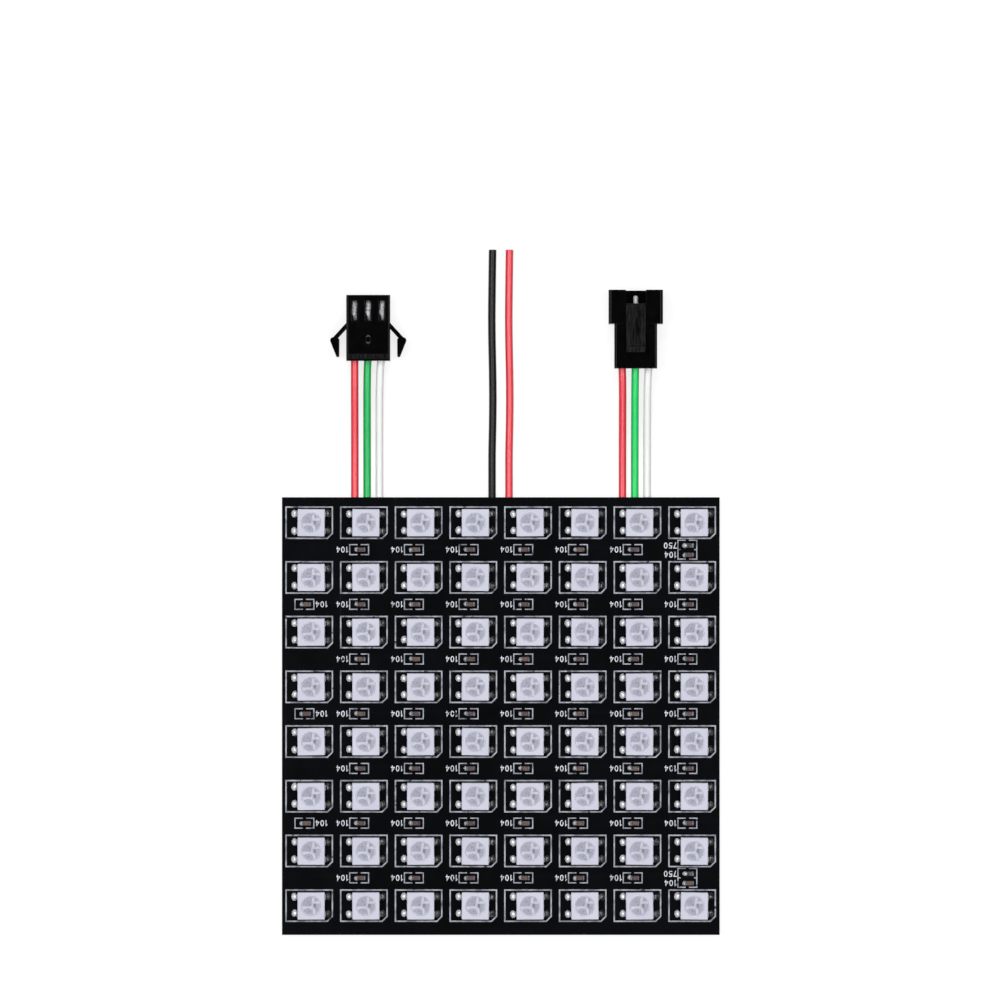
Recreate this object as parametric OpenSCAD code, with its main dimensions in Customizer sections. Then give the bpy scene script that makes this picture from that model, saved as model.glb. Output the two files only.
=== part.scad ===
// Flexible panel of eight by eight addressable LEDs with its leads and connectors.
// Millimetres. The panel lies with its LEDs up. X runs across it, Y towards the
// leads and Z up from the surface that it lies on. The origin is under its middle.

/* [Panel] */
// Distance between neighbouring LEDs
led_pitch = 10; // [9.8:0.1:12]
// Distance from an outer LED's middle to the edge of the panel
panel_margin = 5; // [5:0.1:8]
// Thickness of the flexible circuit
panel_t = 0.3; // [0.2:0.05:0.6]
// Offset of the LED grid to the right of the panel's middle
grid_shift_x = 0.35; // [0:0.05:0.5]
// Offset of the LED grid towards the leads
grid_shift_y = 0.35; // [0:0.05:0.5]

/* [LED package] */
// Width and length of an LED housing
led_w = 5; // [4.8:0.1:5.2]
// Height of an LED above the circuit
led_h = 1.6; // [1.4:0.05:2.2]
// Diameter of the light cup at the top face
cup_top_d = 3.7; // [3.3:0.1:4]
// Diameter of the light cup at its floor
cup_floor_d = 3.2; // [2.8:0.1:3.3]
// Depth of the light cup
cup_depth = 0.85; // [0.6:0.05:1]
// Thickness of the stamped leadframe
leadframe_t = 0.15; // [0.1:0.01:0.18]
// Width of an LED lead
lead_foot_w = 1; // [0.8:0.05:1.1]
// Distance of a lead's middle from the middle of the LED
lead_foot_y = 1.55; // [1.4:0.05:1.7]

/* [Chips] */
// Length of a capacitor or resistor
chip_l = 1.6; // [1.4:0.05:1.8]
// Width of a capacitor or resistor
chip_w = 0.85; // [0.7:0.05:0.9]
// Height of a capacitor
capacitor_h = 0.8; // [0.5:0.05:0.9]
// Height of a resistor
resistor_h = 0.45; // [0.35:0.05:0.6]
// Length of a chip's metal end
chip_end_l = 0.35; // [0.2:0.05:0.4]

/* [Printed legend] */
// Width of the line round each LED
line_w = 0.25; // [0.15:0.01:0.3]
// Width of the brackets round the chips
bracket_line_w = 0.2; // [0.15:0.01:0.3]
// Thickness of the ink
ink_t = 0.02; // [0.01:0.01:0.05]

/* [Leads] */
// Diameter of a lead over its insulation
lead_d = 1.4; // [1.2:0.05:1.6]
// Diameter of the tinned conductor
conductor_d = 0.7; // [0.5:0.05:0.8]
// Distance between the soldered ends of neighbouring data leads
solder_pitch = 2.25; // [2.1:0.05:2.5]
// Distance between the two power leads
power_pitch = 3.1; // [2.6:0.1:4]

/* [Connectors] */
// Distance between neighbouring terminals
terminal_pitch = 2.5; // [2.4:0.05:2.6]
// Diameter of a terminal pin
pin_d = 0.9; // [0.7:0.05:1]
// Width of the input connector's body
plug_w = 8; // [7.8:0.1:8.4]
// Thickness of the input connector's body
plug_h = 4.8; // [4.4:0.1:5.2]
// Length of the input connector's body
plug_l = 12; // [12:0.1:13]
// Thickness of the output connector's shroud wall
shroud_wall = 0.8; // [0.7:0.05:1.2]
// Clearance round the plug in the shroud, on each side
shroud_clearance = 0.15; // [0.1:0.01:0.3]
// Length of the output connector's shroud
shroud_l = 6.2; // [6:0.1:7]
// Length of the output connector behind its shroud
tail_l = 8.1; // [7.8:0.1:9]
// Thickness of the output connector behind its shroud
tail_h = 5; // [4.2:0.1:5.2]

/* [Hidden] */

// A cut reaches this far past the face that it opens
cut = 0.5;
$fn = 48;

// Panel
rows = 8;
columns = 8;
panel_w = (columns - 1) * led_pitch + 2 * panel_margin;
panel_h = (rows - 1) * led_pitch + 2 * panel_margin;
panel_edge_y = panel_h / 2;

// The conductors lie along the back of the panel at the leads' own height, so that
// the insulation ends flush with the panel's edge and the leads rest on the surface.
back_pad_t = 0.04;
solder_film = 0.05;
lead_z = lead_d / 2;
back_pad_bottom = lead_z + conductor_d / 2 + solder_film;
panel_bottom = back_pad_bottom + back_pad_t;
panel_top = panel_bottom + panel_t;

// LED package, measured from the circuit's top face
cup_floor_z = led_h - cup_depth;
leg_top = cup_floor_z;
foot_l = 0.9;
emitter_w = 0.28;
emitter_h = 0.1;
driver_w = 0.42;
driver_l = 0.6;
driver_h = 0.14;
// The four stamped plates on the cup's floor, parted by strips of white plastic
plate_upper_left = [[-1.6, -0.1], [-1.6, 1.6], [0.25, 1.6], [0.1, 0.75], [-0.1, -0.1]];
plate_upper_right = [[0.6, 1.6], [1.3, 1.6], [1.3, 0.85], [0.55, 0.8]];
plate_right = [[0.4, 0.4], [1.8, 0.4], [1.8, -1.6], [0.9, -1.6], [0.7, -0.75], [0.4, -0.1]];
plate_lower_left = [
    [-1.3, -0.7], [-0.9, -0.5], [-0.4, -0.45], [0.1, -0.65], [0.35, -1], [0.4, -1.6], [-1.3, -1.6]
];
// Middles of the three emitters and of the driver chip
emitter_spots = [[-0.2, 0.15], [-0.65, 0.8], [-0.35, -1]];
driver_spot = [0.66, 0.02];
// A solder fillet's outline seen along the lead: outward and up
led_fillet_reach = 0.85;
led_fillet = [[0, 0], [led_fillet_reach, 0], [led_fillet_reach - 0.06, 0.18], [0.38, 0.44], [0, 0.52]];
led_fillet_w = lead_foot_w + 0.1;

// Chips, placed from the LED above each
chip_shift_x = -0.88;
chip_drop = led_pitch / 2 - 0.08;
pair_capacitor_shift = -0.95;
pair_resistor_shift = 0.75;
chip_inset = 0.02;
chip_fillet = [[0, 0], [0.4, 0], [0.12, 0.3], [0, 0.34]];
capacitor_cells = [
    for (gap = [1:rows - 1]) for (column = [1:columns]) if (column > 1 || gap % 2 == 0) [column, gap]
];
pair_cells = [[columns, 1], [columns, rows - 1]];

// Printed legend, placed from each LED or chip
frame_w = led_w + 3.72;
frame_l = led_w + 0.96;
frame_shift_x = -0.38;
// The frame's cut corner passes just clear of the solder on the lead inside it
ink_gap = 0.03;
solder_corner = led_w / 2 + leadframe_t + led_fillet_reach + lead_foot_y + led_fillet_w / 2;
frame_corner = frame_w / 2 + frame_shift_x + frame_l / 2;
frame_chamfer = frame_corner - solder_corner - line_w * sqrt(2) - ink_gap;
bracket_shift_x = -0.37;
bracket_w = 3.65;
bracket_l = 2.02;
bracket_gap = 0.6;
pair_bracket_l = 3.65;
pair_tick_l = 0.6;

// Soldered ends of the leads, on the back of the panel
input_solder_x = -24.45;
power_solder_x = -0.05;
output_solder_x = 24.5;
lead_places = [-1, 0, 1];
power_places = [-0.5, 0.5];
solder_x = concat(
    [for (place = lead_places) input_solder_x + place * solder_pitch],
    [for (place = power_places) power_solder_x + place * power_pitch],
    [for (place = lead_places) output_solder_x + place * solder_pitch]
);
back_pad_w = 1.9;
back_pad_l = 5;
back_pad_inset = 0.5;
conductor_l = 4.6;
solder_r = 0.85;
solder_ball_r = (pow(solder_r, 2) + pow(back_pad_bottom, 2)) / (2 * back_pad_bottom);
solder_near = 2.7;
solder_far = 4.5;

// Connectors. Each is drawn with the middle of its wire end at its own origin and
// its mating end along Y.
input_x = -24.2;
input_free_l = 24.9;
input_y = panel_edge_y + input_free_l;
input_z = plug_h / 2;
input_wire_depth = 5.5;
output_x = 24.6;
output_free_l = 23.5;
output_y = panel_edge_y + output_free_l;
shroud_inner_w = plug_w + 2 * shroud_clearance;
shroud_inner_h = plug_h + 2 * shroud_clearance;
shroud_w = shroud_inner_w + 2 * shroud_wall;
shroud_h = shroud_inner_h + 2 * shroud_wall;
tail_w = 7.8;
output_z = shroud_h / 2;
output_l = tail_l + shroud_l;
output_wire_depth = 7;
wire_bore_d = lead_d + 0.4;
barrel_d = lead_d + 0.2;
chamber_w = 1.9;
terminal_w = 1.6;
terminal_h = 2;
socket_d = pin_d + 0.1;
window_w = 1.25;
window_l = 3.8;
window_lip = 0.95;
socket_setback = 0.6;
barrel_l = 1.1;
dimple_w = 0.9;
dimple_l = 1.7;
dimple_y = 3.9;
dimple_depth = 0.25;
band_from = 0.35;
band_to = 1.2;
band_depth = 0.15;
// A side arm runs from its root on the body's side to a knee, then back along a barb
// to its tip. Each spot is how far out it is and how far back from the mating end.
arm_root = [-0.2, 5.4];
arm_knee = [2.4, 8.25];
arm_heel = [1.7, 8.2];
arm_tip = [1.58, 11.05];
strut_r = 0.38;
knee_r = 0.55;
heel_r = 0.42;
tip_r = 0.28;
arm_h = 3;
arm_sides = 32;
plug_edge_r = 0.35;
shroud_edge_r = 0.5;
tail_edge_r = 0.4;
shroud_back_wall = 0.8;
shroud_depth = shroud_l - shroud_back_wall;
latch_w = 3.5;
latch_t = 0.9;
latch_l = 8.9;
latch_setback = 2.5;
latch_gap = 0.3;
latch_bevel = 0.4;
latch_slot_w = latch_w + 0.2;
latch_neck_l = 1.6;
ridge_w = 0.4;
ridge_h = 0.2;
ridge_x = latch_w / 2 - 0.45;
lip_l = 0.9;
lip_h = 0.45;
pin_setback = 1;
collar_d = pin_d + 0.5;

// Routes of the leads. Each stop of a data lead is its distance from where it starts,
// the share of the sideways shift from the soldered end to the terminal, and the share
// of the rise. The leads run side by side as far as the connector and part inside it.
free_route = [[0, 0, 0], [4, 0, 0], [8, 0, 0.1], [12, 0, 0.3], [16, 0.03, 0.62], [19, 0.06, 0.88]];
entry_route = [[-1.5, 0.3, 1], [0, 0.65, 1], [2.5, 0.92, 1]];
power_route = [
    [0, 0], [4, 0], [8, 0], [13, 0.1], [18, 0.15], [23, 0.1],
    [28, 0], [33, -0.05], [38, 0], [42, 0.05], [45.3, 0.1]
];
lead_sides = 8;

function led_x(column) = (column - (columns + 1) / 2) * led_pitch + grid_shift_x;
function led_y(row) = ((rows + 1) / 2 - row) * led_pitch + grid_shift_y;
function is_pair(cell) = cell[0] == columns && (cell[1] == 1 || cell[1] == rows - 1);
function cell_x(cell) = led_x(cell[0]) + chip_shift_x;
function cell_y(cell) = led_y(cell[1]) - chip_drop;
function capacitor_y(cell) = cell_y(cell) + (is_pair(cell) ? pair_capacitor_shift : 0);
function between(from, to, share) = from + share * (to - from);
function data_route(free_l, wire_depth) = concat(
    free_route, [for (stop = entry_route) [free_l + stop[0], stop[1], stop[2]]], [[free_l + wire_depth, 1, 1]]
);
function data_stops(solder, place, end_x, end_z, route) = [
    for (stop = route)
        [
            between(solder + place * solder_pitch, end_x + place * terminal_pitch, stop[1]),
            panel_edge_y + stop[0],
            between(lead_z, end_z, stop[2])
        ]
];
function input_stops(place) =
    data_stops(input_solder_x, place, input_x, input_z, data_route(input_free_l, input_wire_depth));
function output_stops(place) =
    data_stops(output_solder_x, place, output_x, output_z, data_route(output_free_l, output_wire_depth));
function power_stops(place) = [
    for (stop = power_route) [power_solder_x + place * power_pitch + stop[1], panel_edge_y + stop[0], lead_z]
];

// A block centred across X, from and to the given Y and Z
module block(width, y_from, y_to, z_from, z_to) {
    translate([-width / 2, y_from, z_from]) cube([width, y_to - y_from, z_to - z_from]);
}

// A block whose four long edges, along Y, are rounded
module rounded_block(width, y_from, y_to, z_from, z_to, edge_r) {
    block(width - 2 * edge_r, y_from, y_to, z_from, z_to);
    block(width, y_from, y_to, z_from + edge_r, z_to - edge_r);
    for (side = [-1, 1]) for (height = [z_from + edge_r, z_to - edge_r])
        translate([side * (width / 2 - edge_r), 0, 0]) bar(2 * edge_r, y_from, y_to, height);
}

// A round bar along Y
module bar(diameter, y_from, y_to, height) {
    translate([0, y_from, height]) rotate([-90, 0, 0]) cylinder(d = diameter, h = y_to - y_from);
}

module at_each_led(row) {
    for (column = [1:columns]) translate([led_x(column), led_y(row), panel_top]) children();
}

module at_each_lead_corner() {
    for (side_x = [0, 1]) for (side_y = [0, 1])
        mirror([side_x, 0, 0]) mirror([0, side_y, 0]) translate([led_w / 2, lead_foot_y, 0]) children();
}

module at_each_terminal(axis_z) {
    for (place = lead_places) translate([place * terminal_pitch, 0, axis_z]) children();
}

module flex_circuit() {
    color("#0c0c0f") block(panel_w, -panel_h / 2, panel_h / 2, panel_bottom, panel_top);
}

module led_frame() {
    half_w = frame_w / 2;
    half_l = frame_l / 2;
    inner_w = half_w - line_w;
    inner_l = half_l - line_w;
    inner_chamfer = frame_chamfer - line_w * (2 - sqrt(2));
    linear_extrude(ink_t) polygon(
        points = [
            [-half_w, -half_l], [half_w - frame_chamfer, -half_l], [half_w, -half_l + frame_chamfer],
            [half_w, half_l], [-half_w, half_l],
            [-inner_w, -inner_l], [inner_w - inner_chamfer, -inner_l], [inner_w, -inner_l + inner_chamfer],
            [inner_w, inner_l], [-inner_w, inner_l]
        ],
        paths = [[0, 1, 2, 3, 4], [5, 6, 7, 8, 9]]
    );
}

// Two facing brackets, with ticks at mid-height where they hold a pair of chips
module chip_brackets(length, tick) {
    reach = (bracket_w - bracket_gap) / 2;
    for (side = [0, 1]) mirror([side, 0, 0]) translate([bracket_gap / 2, 0, 0]) {
        difference() {
            translate([0, -length / 2, 0]) cube([reach, length, ink_t]);
            translate([-cut, bracket_line_w - length / 2, -cut])
                cube([reach - bracket_line_w + cut, length - 2 * bracket_line_w, 2 * cut]);
        }
        if (tick > 0) translate([reach - tick, -bracket_line_w / 2, 0]) cube([tick, bracket_line_w, ink_t]);
    }
}

module printed_legend() {
    color("#c9c7d4") {
        for (row = [1:rows]) at_each_led(row) translate([frame_shift_x, 0, 0]) led_frame();
        for (cell = capacitor_cells)
            translate([cell_x(cell) + bracket_shift_x, cell_y(cell), panel_top])
                chip_brackets(is_pair(cell) ? pair_bracket_l : bracket_l, is_pair(cell) ? pair_tick_l : 0);
    }
}

module back_solder_pads() {
    color("#b8b6b0") for (x = solder_x)
        translate([x, panel_edge_y - back_pad_inset - back_pad_l, 0])
            block(back_pad_w, 0, back_pad_l, back_pad_bottom, panel_bottom);
}

// The cup's tapered inside, from its floor to the top face
module cup_inside() {
    translate([0, 0, cup_floor_z]) cylinder(d1 = cup_floor_d, d2 = cup_top_d, h = cup_depth);
}

module floor_plate(outline) {
    translate([0, 0, cup_floor_z - leadframe_t]) intersection() {
        cylinder(d = cup_floor_d, h = leadframe_t);
        linear_extrude(leadframe_t) polygon(outline);
    }
}

// An arm runs from its plate out of the housing's side, down the side and under the foot
module lead_arm(reach) {
    translate([-reach, -lead_foot_w / 2, cup_floor_z - leadframe_t])
        cube([reach + leadframe_t, lead_foot_w, leadframe_t]);
    translate([0, -lead_foot_w / 2, 0]) cube([leadframe_t, lead_foot_w, leg_top]);
    translate([-foot_l, -lead_foot_w / 2, 0]) cube([foot_l + leadframe_t, lead_foot_w, leadframe_t]);
}

module leadframe() {
    floor_plate(plate_upper_left);
    floor_plate(plate_upper_right);
    floor_plate(plate_right);
    floor_plate(plate_lower_left);
    at_each_lead_corner() lead_arm(led_w / 2 - 0.75);
}

module dies() {
    translate([0, 0, cup_floor_z]) {
        for (spot = emitter_spots)
            translate(spot) block(emitter_w, -emitter_w / 2, emitter_w / 2, 0, emitter_h);
        translate(driver_spot) block(driver_w, -driver_l / 2, driver_l / 2, 0, driver_h);
    }
}

module led_housings(row) {
    color("#dcdaea") at_each_led(row) difference() {
        block(led_w, -led_w / 2, led_w / 2, leadframe_t, led_h);
        cup_inside();
        leadframe();
    }
}

module led_leadframes(row) {
    color("#a8a6b4") at_each_led(row) leadframe();
}

module led_dies(row) {
    color("#5a5864") at_each_led(row) dies();
}

module led_lenses(row) {
    color("#e6e4f2") at_each_led(row) difference() {
        cup_inside();
        dies();
    }
}

module led_solder_joints() {
    color("#c8c8c8") for (row = [1:rows]) at_each_led(row) at_each_lead_corner()
        translate([leadframe_t, led_fillet_w / 2, 0]) rotate([90, 0, 0])
            linear_extrude(led_fillet_w) polygon(led_fillet);
}

module chip_body(height) {
    body_l = chip_l / 2 - chip_end_l;
    translate([-body_l, 0, 0]) rotate([90, 0, 90]) linear_extrude(2 * body_l)
        translate([-chip_w / 2 + chip_inset, 0]) square([chip_w - 2 * chip_inset, height - chip_inset]);
}

module chip_ends(height) {
    for (side = [0, 1]) mirror([side, 0, 0])
        translate([chip_l / 2 - chip_end_l, -chip_w / 2, 0]) cube([chip_end_l, chip_w, height]);
}

module chip_fillets() {
    for (side = [0, 1]) mirror([side, 0, 0])
        translate([chip_l / 2, chip_w / 2, 0]) rotate([90, 0, 0])
            linear_extrude(chip_w) polygon(chip_fillet);
}

module at_each_capacitor() {
    for (cell = capacitor_cells) translate([cell_x(cell), capacitor_y(cell), panel_top]) children();
}

module at_each_resistor() {
    for (cell = pair_cells)
        translate([cell_x(cell), cell_y(cell) + pair_resistor_shift, panel_top]) children();
}

module capacitor_bodies() {
    color("#6b3f35") at_each_capacitor() chip_body(capacitor_h);
}

module capacitor_terminals() {
    color("#a9a9ab") at_each_capacitor() chip_ends(capacitor_h);
}

module resistor_bodies() {
    color("#17171a") at_each_resistor() chip_body(resistor_h);
}

module resistor_terminals() {
    color("#a9a9ab") at_each_resistor() chip_ends(resistor_h);
}

module chip_solder_joints() {
    color("#c8c8c8") {
        at_each_capacitor() chip_fillets();
        at_each_resistor() chip_fillets();
    }
}

// A tube of flat sides through the stops, each ring square to the panel's edge
module swept_lead(stops) {
    last = len(stops) - 1;
    ring_points = [
        for (stop = stops) for (side = [0:lead_sides - 1])
            stop + lead_d / 2 * [cos(side * 360 / lead_sides), 0, sin(side * 360 / lead_sides)]
    ];
    side_faces = [
        for (ring = [0:last - 1]) for (side = [0:lead_sides - 1])
            [
                ring * lead_sides + side,
                ring * lead_sides + (side + 1) % lead_sides,
                (ring + 1) * lead_sides + (side + 1) % lead_sides,
                (ring + 1) * lead_sides + side
            ]
    ];
    near_face = [for (side = [0:lead_sides - 1]) lead_sides - 1 - side];
    far_face = [for (side = [0:lead_sides - 1]) last * lead_sides + side];
    polyhedron(points = ring_points, faces = concat([near_face], side_faces, [far_face]));
}

module input_lead_red() {
    color("#e8354a") swept_lead(input_stops(lead_places[0]));
}

module input_lead_green() {
    color("#0fa03c") swept_lead(input_stops(lead_places[1]));
}

module input_lead_white() {
    color("#f2f2f0") swept_lead(input_stops(lead_places[2]));
}

module power_lead_black() {
    color("#1c1817") swept_lead(power_stops(power_places[0]));
}

module power_lead_red() {
    color("#e8354a") swept_lead(power_stops(power_places[1]));
}

module output_lead_red() {
    color("#e8354a") swept_lead(output_stops(lead_places[0]));
}

module output_lead_green() {
    color("#12b04a") swept_lead(output_stops(lead_places[1]));
}

module output_lead_white() {
    color("#f2f2f0") swept_lead(output_stops(lead_places[2]));
}

module conductor() {
    bar(conductor_d, panel_edge_y - conductor_l, panel_edge_y, lead_z);
}

module lead_conductors() {
    color("#c0bfbc") for (x = solder_x) translate([x, 0, 0]) conductor();
}

// A long mound of solder round the conductor, flat where it meets the back pad
module lead_solder_joints() {
    near_y = panel_edge_y - solder_near;
    far_y = panel_edge_y - solder_far;
    mound_d = 2 * solder_ball_r;
    color("#c8c8c8") for (x = solder_x) translate([x, 0, 0]) difference() {
        union() {
            bar(mound_d, far_y, near_y, solder_ball_r);
            translate([0, near_y, solder_ball_r]) sphere(r = solder_ball_r);
            translate([0, far_y, solder_ball_r]) sphere(r = solder_ball_r);
        }
        block(2 * mound_d, far_y - mound_d, near_y + mound_d, back_pad_bottom, back_pad_bottom + mound_d);
        conductor();
    }
}

module arm_post(spot, radius) {
    translate([plug_w / 2 + spot[0], plug_l - spot[1], input_z - arm_h / 2])
        cylinder(r = radius, h = arm_h, $fn = arm_sides);
}

module side_arm() {
    hull() {
        arm_post(arm_root, strut_r);
        arm_post(arm_knee, strut_r);
    }
    hull() {
        arm_post(arm_knee, knee_r);
        arm_post(arm_heel, heel_r);
        arm_post(arm_tip, tip_r);
    }
}

// Stepped inside of the input connector for one terminal and its lead
module input_chamber() {
    bar(wire_bore_d, -cut, input_wire_depth + barrel_l, 0);
    block(chamber_w, input_wire_depth + barrel_l / 2, plug_l + cut, -terminal_h / 2, terminal_h / 2 + 0.2);
    block(window_w, plug_l - window_lip - window_l, plug_l - window_lip, 0, plug_h);
}

module gate_dimple() {
    offset_y = (dimple_l - dimple_w) / 2;
    translate([0, dimple_y, plug_h - dimple_depth]) {
        translate([0, -offset_y, 0]) cylinder(d = dimple_w, h = plug_h);
        translate([0, offset_y, 0]) cylinder(d = dimple_w, h = plug_h);
        block(dimple_w, -offset_y, offset_y, 0, plug_h);
    }
}

module input_connector_housing() {
    color("#101012") translate([input_x, input_y, 0]) {
        difference() {
            rounded_block(plug_w, 0, plug_l, 0, plug_h, plug_edge_r);
            at_each_terminal(input_z) input_chamber();
            gate_dimple();
            block(plug_w + 2 * cut, band_from, band_to, plug_h - band_depth, plug_h + cut);
        }
        side_arm();
        mirror([1, 0, 0]) side_arm();
    }
}

// Crimp barrel behind a box that takes the mating pin
module input_socket_terminal(place) {
    barrel_end = input_wire_depth + barrel_l;
    color("#b9babd") translate([input_x + lead_places[place] * terminal_pitch, input_y, input_z]) {
        bar(barrel_d, input_wire_depth, barrel_end, 0);
        difference() {
            block(terminal_w, barrel_end, plug_l - socket_setback, -terminal_h / 2, terminal_h / 2);
            bar(socket_d, barrel_end + barrel_l / 2, plug_l, 0);
        }
    }
}

// The latch lever seen from its side, Y along and Z up: a bar with a thumb lip at the
// back, a hooked front and a neck that it rocks on
module latch_outline() {
    front = output_l - latch_setback;
    back = front - latch_l;
    bottom = output_z + shroud_inner_h / 2 + latch_gap;
    top = bottom + latch_t;
    neck_front = tail_l + shroud_back_wall;
    polygon([
        [back, bottom + latch_bevel], [back + latch_bevel, bottom],
        [neck_front - latch_neck_l - latch_bevel, bottom], [neck_front - latch_neck_l, bottom - latch_gap],
        [neck_front - latch_neck_l, output_z + tail_h / 2 - cut], [neck_front, output_z + tail_h / 2 - cut],
        [neck_front, bottom],
        [front, bottom], [front, top - latch_bevel], [front - latch_bevel, top],
        [back + lip_l + latch_bevel, top], [back + lip_l, top + lip_h], [back, top + lip_h]
    ]);
}

module latch() {
    front = output_l - latch_setback;
    back = front - latch_l;
    top = output_z + shroud_inner_h / 2 + latch_gap + latch_t;
    translate([-latch_w / 2, 0, 0]) rotate([90, 0, 90]) linear_extrude(latch_w) latch_outline();
    for (side = [-1, 1]) translate([side * ridge_x, 0, 0])
        block(ridge_w, back + lip_l / 2, front - latch_bevel, top - ridge_h, top + ridge_h);
}

module output_connector_housing() {
    shroud_back = output_l - shroud_depth;
    inner_top = output_z + shroud_inner_h / 2;
    tail_top = output_z + tail_h / 2;
    color("#101012") translate([output_x, output_y, 0]) {
        difference() {
            union() {
                rounded_block(shroud_w, tail_l, output_l, 0, shroud_h, shroud_edge_r);
                rounded_block(tail_w, 0, tail_l + cut, tail_top - tail_h, tail_top, tail_edge_r);
            }
            block(shroud_inner_w, shroud_back, output_l + cut, inner_top - shroud_inner_h, inner_top);
            block(latch_slot_w, tail_l - cut, output_l + cut, inner_top, shroud_h + cut);
            at_each_terminal(output_z) {
                bar(wire_bore_d, -cut, output_wire_depth + barrel_l, 0);
                bar(collar_d, output_wire_depth, shroud_back + cut, 0);
            }
        }
        latch();
    }
}

// Crimp barrel and collar behind a round-ended pin
module output_pin_terminal(place) {
    barrel_end = output_wire_depth + barrel_l;
    tip_y = output_l - pin_setback - pin_d / 2;
    color("#d0d1d4") translate([output_x + lead_places[place] * terminal_pitch, output_y, output_z]) {
        bar(barrel_d, output_wire_depth, barrel_end, 0);
        bar(collar_d, barrel_end - cut, output_l - shroud_depth, 0);
        bar(pin_d, output_l - shroud_depth - cut, tip_y, 0);
        translate([0, tip_y, 0]) sphere(d = pin_d);
    }
}

flex_circuit();
printed_legend();
back_solder_pads();
led_housings(1);  // led_housings_row_1
led_housings(2);  // led_housings_row_2
led_housings(3);  // led_housings_row_3
led_housings(4);  // led_housings_row_4
led_housings(5);  // led_housings_row_5
led_housings(6);  // led_housings_row_6
led_housings(7);  // led_housings_row_7
led_housings(8);  // led_housings_row_8
led_leadframes(1);  // led_leadframes_row_1
led_leadframes(2);  // led_leadframes_row_2
led_leadframes(3);  // led_leadframes_row_3
led_leadframes(4);  // led_leadframes_row_4
led_leadframes(5);  // led_leadframes_row_5
led_leadframes(6);  // led_leadframes_row_6
led_leadframes(7);  // led_leadframes_row_7
led_leadframes(8);  // led_leadframes_row_8
led_dies(1);  // led_dies_row_1
led_dies(2);  // led_dies_row_2
led_dies(3);  // led_dies_row_3
led_dies(4);  // led_dies_row_4
led_dies(5);  // led_dies_row_5
led_dies(6);  // led_dies_row_6
led_dies(7);  // led_dies_row_7
led_dies(8);  // led_dies_row_8
led_lenses(1);  // led_lenses_row_1
led_lenses(2);  // led_lenses_row_2
led_lenses(3);  // led_lenses_row_3
led_lenses(4);  // led_lenses_row_4
led_lenses(5);  // led_lenses_row_5
led_lenses(6);  // led_lenses_row_6
led_lenses(7);  // led_lenses_row_7
led_lenses(8);  // led_lenses_row_8
led_solder_joints();
capacitor_bodies();
capacitor_terminals();
resistor_bodies();
resistor_terminals();
chip_solder_joints();
input_lead_red();
input_lead_green();
input_lead_white();
power_lead_black();
power_lead_red();
output_lead_red();
output_lead_green();
output_lead_white();
lead_conductors();
lead_solder_joints();
input_connector_housing();
input_socket_terminal(0);  // input_socket_terminal_1
input_socket_terminal(1);  // input_socket_terminal_2
input_socket_terminal(2);  // input_socket_terminal_3
output_connector_housing();
output_pin_terminal(0);  // output_pin_terminal_1
output_pin_terminal(1);  // output_pin_terminal_2
output_pin_terminal(2);  // output_pin_terminal_3
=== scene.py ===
"""Looks of a flexible LED matrix panel with its leads and connectors.

Metres throughout. The panel lies on the floor with its LEDs up, X across it and
Y towards the leads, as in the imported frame.
"""

import math

import bmesh
import bpy
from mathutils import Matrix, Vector


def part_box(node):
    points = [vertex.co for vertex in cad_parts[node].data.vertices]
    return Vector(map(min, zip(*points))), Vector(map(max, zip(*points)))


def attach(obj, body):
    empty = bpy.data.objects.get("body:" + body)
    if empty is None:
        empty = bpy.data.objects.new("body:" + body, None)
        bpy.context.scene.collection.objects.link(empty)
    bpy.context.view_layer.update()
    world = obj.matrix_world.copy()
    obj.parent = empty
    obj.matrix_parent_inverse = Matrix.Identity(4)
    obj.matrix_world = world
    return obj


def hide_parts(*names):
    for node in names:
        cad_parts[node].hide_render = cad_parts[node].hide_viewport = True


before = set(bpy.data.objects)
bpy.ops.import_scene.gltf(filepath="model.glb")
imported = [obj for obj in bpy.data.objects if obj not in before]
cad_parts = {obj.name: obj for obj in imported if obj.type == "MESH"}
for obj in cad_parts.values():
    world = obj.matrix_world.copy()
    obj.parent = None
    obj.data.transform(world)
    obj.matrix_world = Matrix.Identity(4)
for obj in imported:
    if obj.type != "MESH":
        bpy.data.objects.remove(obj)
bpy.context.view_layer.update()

MM = 0.001
ROWS = 8
COLUMNS = 8
BODY = "root"

# ---------------------------------------------------------------- places from the frame

panel_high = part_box("flex_circuit")[1]
first_low, first_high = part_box("led_housings_row_1")
last_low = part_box("led_housings_row_8")[0]
cup_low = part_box("led_lenses_row_1")[0]
plug_low, plug_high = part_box("input_connector_housing")
header_low, header_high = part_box("output_connector_housing")

PANEL_TOP = panel_high.z
PANEL_EDGE = panel_high.y
LED_WIDTH = first_high.y - first_low.y
LED_TOP = first_high.z
LED_FOOT = first_low.z
CUP_FLOOR = cup_low.z
PITCH = (first_high.x - first_low.x - LED_WIDTH) / (COLUMNS - 1)
GRID_CENTRE = Vector(((first_low.x + first_high.x) / 2, (first_high.y + last_low.y) / 2, 0))

CUP_TOP_RADIUS = 1.85 * MM
CUP_FLOOR_RADIUS = 1.6 * MM
LEAD_REACH = LED_WIDTH / 2 + 0.15 * MM
LEAD_Y = 1.55 * MM
CHIP_LENGTH = 1.6 * MM
CHIP_WIDTH = 0.85 * MM
CHIP_END = 0.35 * MM
CAPACITOR_HEIGHT = 0.8 * MM
RESISTOR_HEIGHT = 0.45 * MM
CHIP_SHIFT = -0.88 * MM
CHIP_DROP = PITCH / 2 - 0.08 * MM
PAIR_CAPACITOR_SHIFT = -0.95 * MM
PAIR_RESISTOR_SHIFT = 0.75 * MM
INK = 0.02 * MM


def led_x(column):
    return GRID_CENTRE.x + (column - (COLUMNS + 1) / 2) * PITCH


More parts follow.
